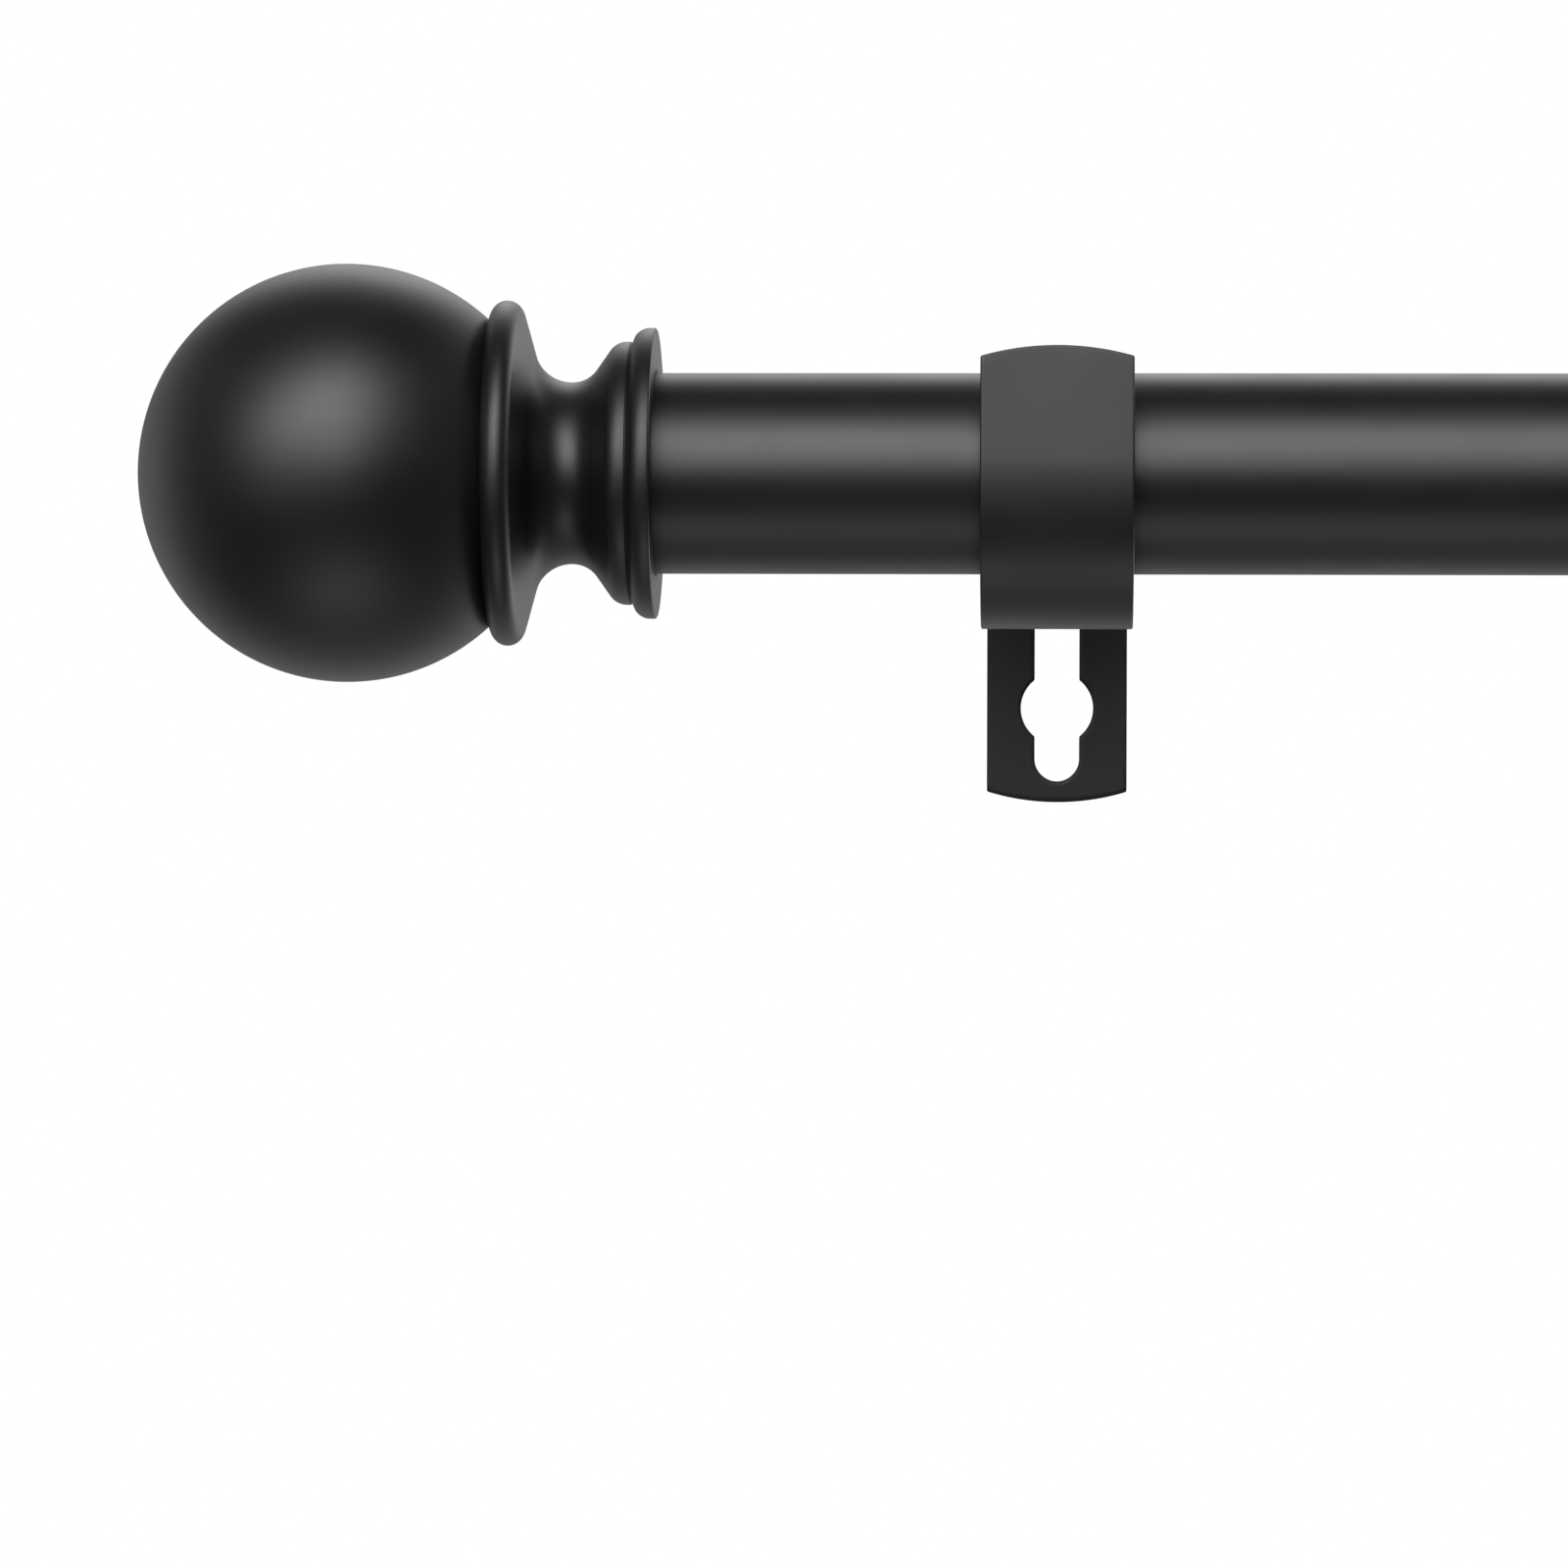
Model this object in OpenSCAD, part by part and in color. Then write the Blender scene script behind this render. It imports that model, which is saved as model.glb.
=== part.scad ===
// Telescoping curtain rod with ball finials, resting in two adjustable wall brackets.
// +X runs along the rod, +Y points into the wall and +Z is up. The origin is on the wall face of
// the left bracket, at the middle of the round opening of its keyhole.

/* [Rod] */
// Outside diameter of the outer tube
rod_d = 25.4; // [22:0.1:32]
// Wall of both tubes
tube_wall = 0.8; // [0.6:0.1:1.2]
// Length of each tube
tube_len = 660; // [300:5:1200]
// Length of inner tube that shows between the outer tube's mouth and the right finial
pulled_out = 104.5; // [70:0.5:550]
// Sleeve of the bush in the outer tube's mouth, measured through its wall
bush_wall = 0.75; // [0.6:0.05:1.2]
// Length of the bush inside the tube
bush_len = 12; // [8:1:20]
// Lip of the bush in front of the mouth
bush_lip = 1.2; // [0.8:0.1:2]

/* [Finials] */
// Diameter of the ball
ball_d = 53; // [44:0.5:70]
// Wall of the hollow ball
ball_wall = 2; // [1.5:0.1:3]
// How far the collar stands out over the rod
collar_over = 5.7; // [4:0.05:8]
// How far the small flange stands out over the rod
flange_over = 3.95; // [3.5:0.05:5]
// How far the waist is drawn in below the rod's radius
waist_under = 1.2; // [0.5:0.05:2]
// How far the bead ring stands out over the rod
ring_over = 9.15; // [8:0.05:10]
// Metal between the socket that takes the rod and the foot of the ball
foot_wall = 6.5; // [6:0.1:9]
// Thread diameter of the stud that holds the finial together
stud_d = 6; // [5:1:8]
// Length of rod that goes into the collar, with its plug's flange in front
socket_in = 4.5; // [3:0.1:5]
// Flange of the end plug
plug_flange = 1.5; // [1:0.1:1.6]
// Length of the end plug inside the tube
plug_len = 16.5; // [14:0.5:30]

/* [Brackets] */
// Distance from the wall to the rod's axis
projection = 76; // [70:1:120]
// Distance from a bracket's middle to the collar at its end of the rod
bracket_inset = 50.65; // [40:0.05:150]
// Thickness of the steel strip
strip_t = 2; // [1.5:0.1:2.5]
// Width of the hook's strip
hook_w = 19.15; // [16:0.05:26]
// Width of the wall bracket's strip
plate_w = 19.2; // [16:0.05:26]
// Space between the rod and the sides of the cradle
cradle_slack = 1.4; // [1:0.1:2.5]
// Rubber under the rod, measured at the bottom of the cradle
pad_t = 4.6; // [3:0.1:6]
// Half of the angle that the rubber covers, from the bottom
pad_half_angle = 45; // [30:1:50]
// Height of the lip's top over the rod
lip_over = 3.2; // [2:0.1:8]
// Gap between the rod and the lip's top edge
mouth_gap = 0.55; // [0.4:0.05:1]
// Inside radius of the slow bend between the lip and the cradle
lip_bend_r = 30; // [25:1:50]
// Angle below level where the cradle turns into that slow bend
lip_bend_from = 11.5; // [5:0.5:20]
// Height of the arc that ends the lip
lip_arc = 1.35; // [0.5:0.05:3]
// Straight stretch behind the cradle
leg_len = 0.5; // [0.5:0.1:5]
// Inside radius of the bend from the cradle to the shank
shank_bend_r = 3; // [2:0.5:5]
// Inside radius of the bend from the wall plate to the arm
plate_bend_r = 2; // [1.5:0.5:4]

/* [Keyhole] */
// Height of the rod's axis over the middle of the keyhole's round opening
axis_rise = 32; // [30:0.5:50]
// Diameter of the round opening
head_d = 9.9; // [8:0.1:12]
// Width of the slots above and below it
slot_w = 6.1; // [4:0.1:7]
// End of the upper slot over the middle of the opening
slot_up = 16; // [12:0.5:20]
// End of the lower slot under the middle of the opening
slot_down = 10.05; // [8:0.05:14]
// Plate that is left under the lower slot
plate_foot = 2.85; // [2:0.05:6]
// Height of the arc that ends the plate
plate_arc = 1.45; // [0.5:0.05:3]

/* [Screws] */
// Thread diameter of the arm screw and of the set screw
screw_d = 4; // [3:0.5:5]
// Distance from the arm's end to its screw
arm_screw_edge = 8; // [7:0.5:12]
// Diameter of the arm screw's knurled head
arm_head_d = 12; // [9:0.5:14]
// Height of the arm screw's head
arm_head_h = 5; // [3:0.5:6]
// Diameter of the set screw's knurled head
set_head_d = 8; // [7:0.5:9]
// Length of the set screw's head
set_head_h = 6; // [4:0.5:7]
// Thread of the set screw that shows between its head and the hook
set_screw_out = 1.5; // [0.5:0.1:3]
// Angle of the set screw below level
set_screw_angle = 30; // [25:1:35]

/* [Fits] */
// Radial clearance of what slides or turns
run_fit = 0.05; // [0.02:0.01:0.1]
// Gap between curved faces that must not rub
free_gap = 0.3; // [0.2:0.05:0.5]
// Radial clearance of a screw in a plain hole or slot
hole_gap = 0.2; // [0.1:0.05:0.4]
// Glue line under the rubber, and the ball's seat
seat_gap = 0.05; // [0.02:0.01:0.1]
// Gap between the arm's end and the hook's bend, pushed right in
arm_end_gap = 0.9; // [0.5:0.1:2]
// Gap between the shank's end and the wall, pushed right in
shank_wall_gap = 5.8; // [2:0.1:10]
// Strip that is left beyond the end of the shank's slot
slot_edge = 4; // [3:0.5:8]

/* [Hidden] */
$fn = 96;
rod_r = rod_d / 2;
tube_bore_r = rod_r - tube_wall;
inner_r = tube_bore_r - bush_wall - run_fit;
inner_bore_r = inner_r - tube_wall;

// Along the rod
left_x = 0;
left_collar_x = left_x - bracket_inset;
outer_start_x = left_collar_x - socket_in;
mouth_x = outer_start_x + tube_len;
right_collar_x = mouth_x + pulled_out;
right_x = right_collar_x - bracket_inset;
inner_end_x = right_collar_x + socket_in;
tail_x = inner_end_x - tube_len;
axis_y = -projection;
axis_z = axis_rise;

// The right bracket is set higher, so that the thinner tube lies on its rubber
right_raise = rod_r - inner_r;

// Cradle, measured from the rod's axis
cradle_r = rod_r + cradle_slack;
cradle_out_r = cradle_r + strip_t;
cradle_drop = pad_t + free_gap + rod_r - cradle_r;
lip_top = rod_r + lip_over;
pad_r = rod_r + free_gap;

// The lip is tangent to its slow bend and passes the rod with mouth_gap
bend_shift = lip_bend_r - cradle_r;
bend_y = bend_shift * cos(lip_bend_from);
bend_z = bend_shift * sin(lip_bend_from) - cradle_drop;
lip_reach = rod_r + mouth_gap + bend_y;
lip_height = lip_top - bend_z;
lip_far = sqrt(lip_reach * lip_reach + lip_height * lip_height);
lip_lean = atan2(lip_height, lip_reach) - acos(lip_bend_r / lip_far);
lip_spare = 2;
lip_len = (lip_height - lip_bend_r * sin(lip_lean)) / cos(lip_lean) + lip_spare;

// Arm and shank, as distances from the wall and heights from the rod's axis
arm_top = leg_len + shank_bend_r - cradle_drop;
bend_reach = projection - cradle_out_r - shank_bend_r;
slot_half_w = screw_d / 2 + hole_gap;
adjust = (bend_reach - arm_end_gap - arm_screw_edge - slot_half_w - slot_edge - shank_wall_gap) / 3;
arm_reach = bend_reach - adjust - arm_end_gap;
arm_screw_reach = arm_reach - arm_screw_edge;
shank_end = arm_screw_reach - adjust - slot_half_w - slot_edge;
strip_end_arc = 1.5;
plate_bottom = -slot_down - plate_foot;

// Finial, measured outwards from the collar's rod side
collar_r = rod_r + collar_over;
flange_r = rod_r + flange_over;
waist_r = rod_r - waist_under;
ring_r = rod_r + ring_over;
socket_depth = socket_in + plug_flange + free_gap;
socket_r = rod_r + free_gap;
collar_round = 2.2;
collar_round_at = 0.8;
collar_round_to = 55;
collar_chamfer = 0.3;
groove_at = 3.1;
groove_depth = 0.15;
flange_at = 3.75;
flange_round = 2.5;
flange_round_to = 54;
cove_at = 10.7;
cove_round = 3.9;
cove_ring_round = 4.95;
ring_round = 2;

// The ball sits in the ring's face, and its foot keeps its distance from the socket
seat_rim = 2.8;
seat_r = ring_r - seat_rim;
ball_r = ball_d / 2;
ball_foot = socket_depth + foot_wall;
ball_at = ball_foot + ball_r;
seat_at = ball_at - sqrt(ball_r * ball_r - seat_r * seat_r);
ring_at = seat_at - ring_round;

// The cove's ring side is an arc that runs on straight into the ring's round, touching both. Where
// there is little room between waist and ring, the arc is smaller.
ring_centre_out = ring_r - ring_round - waist_r;
ring_centre_on = ring_at - cove_at;
widest_cove = (ring_centre_out * ring_centre_out + ring_centre_on * ring_centre_on - ring_round * ring_round)
    / (2 * (ring_centre_out + ring_round));
ring_cove_r = min(cove_ring_round, 0.9 * widest_cove);
ring_cove_far = norm([ring_centre_out - ring_cove_r, ring_centre_on]);
ring_cove_to = atan2(ring_centre_on, ring_centre_out - ring_cove_r)
    + acos((ring_cove_r + ring_round) / ring_cove_far);
cove_step = 10;
boss_wall = 4;
boss_len = 13;
stud_short = 2;
stud_top = ball_foot + boss_len - stud_short;
plug_nut_af = stud_d + 4;
plug_nut_h = stud_d - 1;
nut_in = 2;
plug_nut_from = socket_in - plug_len + nut_in;
stud_past_nut = 1;
stud_bottom = plug_nut_from - stud_past_nut;

// Arm screw and set screw
screw_nut_af = screw_d + 3;
screw_nut_h = screw_d - 0.8;
screw_past_nut = 1.5;
tip_step = 0.5;
tip_len = 1;
knurl_d = 1.2;
flutes_per_mm = 2;

// Largest turn between two points of a bend's outline
bend_step = 3;
// Turns a round cut about its own axis, so that its seam misses the corners of a bend's outline
seam_turn = 20;
EPS = 0.01;
FINISH = [0.11, 0.11, 0.115];

// ---- Places ----

// Puts a finial's own axis, +Z outwards from the collar, on the left or right end of the rod
module at_left_end() { translate([left_collar_x, axis_y, axis_z]) rotate([0, -90, 0]) children(); }
module at_right_end() { translate([right_collar_x, axis_y, axis_z]) rotate([0, 90, 0]) children(); }

// Puts a shape that runs along +Z onto the rod's axis, from x
module along_rod(x) { translate([x, axis_y, axis_z]) rotate([0, 90, 0]) children(); }

// Bracket frames: x = 0 in the middle of the strip, y = 0 on the wall, z = 0 on the keyhole
module at_left_bracket() { translate([left_x, 0, 0]) children(); }
module at_right_bracket() { translate([right_x, 0, right_raise]) children(); }

// Takes a drawing in the plane (towards the wall, up) with its width along +Z into a bracket frame
module strip_frame(width) { translate([-width / 2, 0, 0]) rotate([90, 0, 90]) children(); }

// ---- Shapes that repeat ----

module tube(outer, inner, length) {
    difference() {
        cylinder(r = outer, h = length);
        translate([0, 0, -1]) cylinder(r = inner, h = length + 2);
    }
}

// A strip's path starts at [0, 0] heading along +X. Each step is [length] for a straight, or
// [angle, inside radius] for a bend, left when positive. The strip's right face follows the path, and
// its left face lies strip_t to the left of it.
function heading(a) = [cos(a), sin(a)];
function leftward(a) = [-sin(a), cos(a)];

// Points along the face that lies offset to the left of the path, without its first point
function face_points(steps, offset, at = [0, 0], a = 0, i = 0) =
    i == len(steps) ? [] :
    len(steps[i]) == 1 ?
        let (end = at + steps[i][0] * heading(a))
        concat([end + offset * leftward(a)], face_points(steps, offset, end, a, i + 1)) :
        let (
            turn = steps[i][0],
            to_centre = turn > 0 ? strip_t + steps[i][1] : -steps[i][1],
            centre = at + to_centre * leftward(a),
            n = ceil(abs(turn) / bend_step))
        concat(
            [for (k = [1 : n]) centre + (offset - to_centre) * leftward(a + turn * k / n)],
            face_points(steps, offset, centre - to_centre * leftward(a + turn), a + turn, i + 1));

function backwards(points) = [for (i = [len(points) - 1 : -1 : 0]) points[i]];
function mirrored(points) = [for (p = points) [-p[0], p[1]]];

// Strip that follows the steps ahead, and the mirror image of the steps behind
module bent_strip(ahead, behind, width) {
    linear_extrude(width) polygon(concat(
        backwards(mirrored(face_points(behind, 0))), [[0, 0]], face_points(ahead, 0),
        backwards(face_points(ahead, strip_t)), [[0, strip_t]], mirrored(face_points(behind, strip_t))));
}

// Cuts a strip's end, which points along +Y and ends at y = 0, to an arc
module end_arc(width, rise, depth) {
    arc_r = (width * width / 4 + rise * rise) / (2 * rise);
    difference() {
        translate([-width, -rise - EPS, -depth / 2]) cube([2 * width, 2 * rise + lip_spare, depth]);
        translate([0, -arc_r, -depth]) cylinder(r = arc_r, h = 2 * depth, $fn = 180);
    }
}

// Slot along Y between the centres y0 and y1, through z from 0 to depth
module slot(y0, y1, width, depth) {
    translate([-width / 2, y0, 0]) cube([width, y1 - y0, depth]);
    for (y = [y0, y1]) translate([0, y, 0]) cylinder(d = width, h = depth);
}

// Knurled head on the +Z side of z = 0
module knurled_head(d, h) {
    flutes = round(d * flutes_per_mm);
    difference() {
        cylinder(d = d, h = h);
        for (i = [0 : flutes - 1])
            rotate(i * 360 / flutes) translate([d / 2 + knurl_d / 4, 0, -1])
                cylinder(d = knurl_d, h = h + 2, $fn = 16);
    }
}

module hex_nut(across_flats, h, bore_r) {
    difference() {
        cylinder(d = across_flats / cos(30), h = h, $fn = 6);
        translate([0, 0, -1]) cylinder(r = bore_r, h = h + 2);
    }
}

// ---- Finial ----

// Points [radius, height] of an arc around [r, z], with angles measured from the outward radius
function arc(r, z, radius, from, to, n = 8) =
    [for (i = [0 : n]) let (a = from + (to - from) * i / n) [r + radius * cos(a), z + radius * sin(a)]];

neck_outline = concat(
    [[socket_r, 0], [collar_r - collar_chamfer, 0], [collar_r, collar_chamfer]],
    arc(collar_r - collar_round, collar_round_at, collar_round, 5, collar_round_to),
    [[flange_r, groove_at - groove_depth], [flange_r - groove_depth, groove_at],
        [flange_r, groove_at + groove_depth]],
    arc(flange_r - flange_round, flange_at, flange_round, 5, flange_round_to),
    arc(waist_r + cove_round, cove_at, cove_round, 180 + flange_round_to, 180),
    arc(waist_r + ring_cove_r, cove_at, ring_cove_r, 180 - cove_step, ring_cove_to),
    arc(ring_r - ring_round, ring_at, ring_round, ring_cove_to - 180, 90, 12),
    [[0, seat_at], [0, socket_depth], [socket_r, socket_depth]]
);

module finial_neck() {
    color(FINISH) difference() {
        rotate_extrude($fn = 128) polygon(neck_outline);
        translate([0, 0, ball_at]) sphere(r = ball_r + seat_gap, $fn = 128);
        cylinder(r = stud_d / 2 + run_fit, h = ball_at);
    }
}

module finial_ball() {
    color(FINISH) difference() {
        translate([0, 0, ball_at]) sphere(r = ball_r, $fn = 128);
        difference() {
            translate([0, 0, ball_at]) sphere(r = ball_r - ball_wall, $fn = 128);
            translate([0, 0, ball_foot]) cylinder(r = stud_d / 2 + boss_wall, h = boss_len);
        }
        translate([0, 0, ball_foot - 1]) cylinder(r = stud_d / 2 + run_fit, h = boss_len + 2);
    }
}

module finial_stud() {
    color("silver") translate([0, 0, stud_bottom]) cylinder(d = stud_d, h = stud_top - stud_bottom);
}

// Plug in the end of a tube, with a pocket for its nut. Round a thinner tube a skirt fills the collar.
module end_plug(tube_r, bore_r) {
    color("dimgray") difference() {
        union() {
            translate([0, 0, socket_in - plug_len]) cylinder(r = bore_r, h = plug_len);
            translate([0, 0, socket_in]) cylinder(r = rod_r, h = plug_flange);
            if (tube_r < rod_r) tube(rod_r, tube_r, socket_in + EPS);
        }
        translate([0, 0, -plug_len]) cylinder(r = stud_d / 2 + hole_gap, h = 2 * plug_len);
        translate([0, 0, socket_in - plug_len - 1])
            cylinder(d = (plug_nut_af + 2 * seat_gap) / cos(30), h = plug_nut_h + nut_in + 1, $fn = 6);
    }
}

module plug_nut() {
    color("silver") translate([0, 0, plug_nut_from])
        hex_nut(plug_nut_af, plug_nut_h, stud_d / 2 + run_fit);
}

// ---- Rod ----

module outer_tube() {
    color(FINISH) along_rod(outer_start_x) tube(rod_r, tube_bore_r, tube_len);
}

module inner_tube() {
    color(FINISH) along_rod(tail_x) tube(inner_r, inner_bore_r, tube_len);
}

module mouth_bush() {
    color("dimgray") along_rod(mouth_x - bush_len) difference() {
        union() {
            cylinder(r = tube_bore_r, h = bush_len);
            translate([0, 0, bush_len]) cylinder(r = rod_r, h = bush_lip);
        }
        translate([0, 0, -1]) cylinder(r = inner_r + run_fit, h = bush_len + bush_lip + 2);
    }
}

module tail_plug() {
    flange = 3;
    depth = 10;
    wall = 3;
    color("dimgray") along_rod(tail_x - flange) difference() {
        union() {
            cylinder(r = tube_bore_r - run_fit, h = flange);
            cylinder(r = inner_bore_r, h = flange + depth);
        }
        translate([0, 0, -1]) cylinder(r = inner_bore_r - wall, h = flange + depth + 2);
    }
}

// ---- Bracket ----

module wall_bracket() {
    plate_len = axis_z + arm_top - plate_bottom - strip_t - plate_bend_r;
    arm_len = arm_reach - strip_t - plate_bend_r;
    cut = 3 * strip_t;
    color(FINISH) difference() {
        strip_frame(plate_w) translate([0, plate_bottom + plate_len, 0]) rotate(90)
            bent_strip([[90, plate_bend_r], [arm_len]], [[plate_len]], plate_w);
        translate([0, -strip_t / 2, plate_bottom]) mirror([0, 0, 1]) rotate([90, 0, 0])
            end_arc(plate_w, plate_arc, cut);
        translate([0, -arm_reach, axis_z + arm_top - strip_t / 2]) rotate(180)
            end_arc(plate_w, strip_end_arc, cut);
        translate([0, cut / 2, 0]) rotate([90, 0, 0]) {
            cylinder(d = head_d, h = cut);
            slot(-slot_down + slot_w / 2, slot_up - slot_w / 2, slot_w, cut);
        }
        translate([0, -arm_screw_reach, axis_z]) cylinder(r = slot_half_w, h = cut, center = true);
    }
}

module rod_hook() {
    shank_len = bend_reach - shank_end;
    cut = 3 * strip_t;
    color(FINISH) difference() {
        translate([0, axis_y, axis_z])
            strip_frame(hook_w) translate([0, -cradle_drop - cradle_out_r, 0])
                bent_strip(
                    [[90, cradle_r], [leg_len], [-90, shank_bend_r], [shank_len]],
                    [[90 - lip_bend_from, cradle_r], [lip_bend_from + lip_lean, lip_bend_r], [lip_len]],
                    hook_w);
        translate([0, axis_y - cradle_out_r, axis_z + lip_top]) rotate([90, 0, 0])
            end_arc(hook_w, lip_arc, 4 * cut);
        translate([0, -shank_end, axis_z + arm_top + strip_t / 2]) end_arc(hook_w, strip_end_arc, cut);
        translate([0, 0, axis_z + arm_top - strip_t])
            slot(-arm_screw_reach - adjust, -arm_screw_reach + adjust, 2 * slot_half_w, cut);
        at_set_screw() rotate(seam_turn) cylinder(r = screw_d / 2 + run_fit, h = 2 * cradle_r);
    }
}

// Rubber crescent between the cradle and the rod
module rod_saddle() {
    saddle_w = hook_w - 2;
    far = 2 * cradle_r;
    color([0.05, 0.05, 0.05]) translate([0, axis_y, axis_z]) strip_frame(saddle_w)
        intersection() {
            difference() {
                translate([0, -cradle_drop, 0]) cylinder(r = cradle_r - seat_gap, h = saddle_w);
                translate([0, 0, -1]) cylinder(r = pad_r, h = saddle_w + 2);
            }
            translate([0, -cradle_drop, 0]) linear_extrude(saddle_w)
                polygon([[0, 0], [-far * tan(pad_half_angle), -far], [far * tan(pad_half_angle), -far]]);
        }
}

// The set screw's axis starts in the middle of the cradle and runs down and back, square to the strip
module at_set_screw() {
    translate([0, axis_y, axis_z - cradle_drop]) rotate([-90 - set_screw_angle, 0, 0]) children();
}

// Distance along that axis to a tube of radius r, whose axis is rise over the cradle's middle
function tube_along_screw(r, rise) =
    let (s = rise * sin(set_screw_angle)) sqrt(s * s + r * r - rise * rise) - s;

module set_screw(tube_r, rise) {
    from = tube_along_screw(tube_r, rise) + free_gap;
    head_at = cradle_out_r + set_screw_out;
    color("gray") at_set_screw() {
        translate([0, 0, from]) cylinder(r = screw_d / 2 - tip_step, h = tip_len + EPS);
        translate([0, 0, from + tip_len]) cylinder(d = screw_d, h = head_at - from - tip_len + EPS);
        translate([0, 0, head_at]) knurled_head(set_head_d, set_head_h);
    }
}

module arm_screw() {
    shaft = 2 * strip_t + screw_nut_h + screw_past_nut;
    color("gray") translate([0, -arm_screw_reach, axis_z + arm_top - strip_t]) {
        translate([0, 0, -EPS]) cylinder(d = screw_d, h = shaft + EPS);
        mirror([0, 0, 1]) knurled_head(arm_head_d, arm_head_h);
    }
}

module arm_nut() {
    color("silver") translate([0, -arm_screw_reach, axis_z + arm_top + strip_t])
        hex_nut(screw_nut_af, screw_nut_h, screw_d / 2 + run_fit);
}

// ---- Nodes ----

at_left_end() finial_ball();  // left_finial_ball
at_left_end() finial_neck();  // left_finial_neck
at_left_end() finial_stud();  // left_finial_stud
at_left_end() end_plug(rod_r, tube_bore_r);  // left_end_plug
at_left_end() plug_nut();  // left_plug_nut
at_right_end() finial_ball();  // right_finial_ball
at_right_end() finial_neck();  // right_finial_neck
at_right_end() finial_stud();  // right_finial_stud
at_right_end() end_plug(inner_r, inner_bore_r);  // right_end_plug
at_right_end() plug_nut();  // right_plug_nut
outer_tube();
inner_tube();
mouth_bush();
tail_plug();
at_left_bracket() wall_bracket();  // left_wall_bracket
at_left_bracket() rod_hook();  // left_rod_hook
at_left_bracket() rod_saddle();  // left_rod_saddle
at_left_bracket() arm_screw();  // left_arm_screw
at_left_bracket() arm_nut();  // left_arm_nut
at_left_bracket() set_screw(rod_r, cradle_drop);  // left_set_screw
at_right_bracket() wall_bracket();  // right_wall_bracket
at_right_bracket() rod_hook();  // right_rod_hook
at_right_bracket() rod_saddle();  // right_rod_saddle
at_right_bracket() arm_screw();  // right_arm_screw
at_right_bracket() arm_nut();  // right_arm_nut
at_right_bracket() set_screw(inner_r, cradle_drop - right_raise);  // right_set_screw
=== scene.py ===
# A telescoping curtain rod with ball finials, lying in two hook brackets. Lengths are in metres, in the
# CAD frame: +X along the rod, +Y into the wall, +Z up, from the left bracket's wall face.
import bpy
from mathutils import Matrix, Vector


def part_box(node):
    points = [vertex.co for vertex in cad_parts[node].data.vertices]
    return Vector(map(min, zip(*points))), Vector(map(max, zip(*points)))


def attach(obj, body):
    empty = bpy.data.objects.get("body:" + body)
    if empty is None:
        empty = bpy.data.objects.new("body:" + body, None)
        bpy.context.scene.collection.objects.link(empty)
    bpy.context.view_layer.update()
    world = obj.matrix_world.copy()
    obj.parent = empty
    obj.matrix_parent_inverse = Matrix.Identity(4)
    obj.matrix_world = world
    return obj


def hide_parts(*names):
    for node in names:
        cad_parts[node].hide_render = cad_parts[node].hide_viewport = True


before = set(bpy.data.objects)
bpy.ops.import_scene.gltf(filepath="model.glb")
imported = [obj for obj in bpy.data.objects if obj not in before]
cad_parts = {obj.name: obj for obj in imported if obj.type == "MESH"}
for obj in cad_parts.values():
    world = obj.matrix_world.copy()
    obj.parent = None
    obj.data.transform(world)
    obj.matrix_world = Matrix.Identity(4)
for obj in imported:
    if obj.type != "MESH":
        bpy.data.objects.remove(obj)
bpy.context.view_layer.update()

from math import acos, asin, atan2, cos, degrees, hypot, pi, radians, sin, sqrt, tan

import bpy
import numpy as np

MM = 0.001

# ---- The studio ----
# A long lens looks at the left end of the rod from 0.87 m. The pale floor lies well below the brackets
# and neither lights the part nor shows in it, so that its dark bands stay dark.
tube_low, tube_high = (np.array(corner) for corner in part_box("outer_tube"))
rod_r = (tube_high[2] - tube_low[2]) / 2
rod_y, rod_z = (tube_low[1:] + tube_high[1:]) / 2

seen_width, view_reach, camera_roll = 0.1984, 0.867, 0.07
eye = np.array([0.0005, rod_y - view_reach, rod_z - 0.002])
aim = eye + np.array([-0.0350, view_reach, -0.0373])
camera = bpy.data.objects.new("studio_camera", bpy.data.cameras.new("studio_camera"))
bpy.context.collection.objects.link(camera)
camera.location = eye
camera.rotation_euler = Vector(aim - eye).to_track_quat("-Z", "Y").to_euler()
camera.rotation_euler.rotate_axis("Z", radians(camera_roll))
camera.data.lens = camera.data.sensor_width * view_reach / seen_width
camera.data.clip_start, camera.data.clip_end = 0.05, 50
bpy.context.scene.camera = camera
bpy.context.scene.view_settings.view_transform = "Standard"

floor_mesh = bpy.data.meshes.new("studio_floor")
floor_r, floor_z, floor_sides = 2.4, -0.9, 96
turn = np.arange(floor_sides) * 2 * pi / floor_sides
floor_edge = np.stack([floor_r * np.cos(turn), floor_r * np.sin(turn), np.full(floor_sides, floor_z)], 1)
floor_mesh.from_pydata(floor_edge.tolist(), [], [list(range(floor_sides))])
floor = bpy.data.objects.new("studio_floor", floor_mesh)
bpy.context.collection.objects.link(floor)
floor_paint = bpy.data.materials.new("pale_floor")
floor_paint.use_nodes = True
floor_look = floor_paint.node_tree.nodes["Principled BSDF"]
floor_look.inputs["Base Color"].default_value = (0.9, 0.9, 0.9, 1)
floor_look.inputs["Roughness"].default_value = 0.9
floor_look.inputs["Emission Color"].default_value = (1, 1, 1, 1)
floor_look.inputs["Emission Strength"].default_value = 0.6
floor_mesh.materials.append(floor_paint)
floor.visible_glossy = floor.visible_diffuse = False

# The world is white to the camera. Everything else is lit by a dim room with soft boxes and white
# cards in it: the key high in front, a second box to its left, one close over the lens, and one behind
# for the upper rims. The cards lift the left and lower rims.
world = bpy.data.worlds.new("studio_world")
bpy.context.scene.world = world
world.use_nodes = True
nodes, links = world.node_tree.nodes, world.node_tree.links
nodes.clear()
room_light = 0.03


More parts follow.
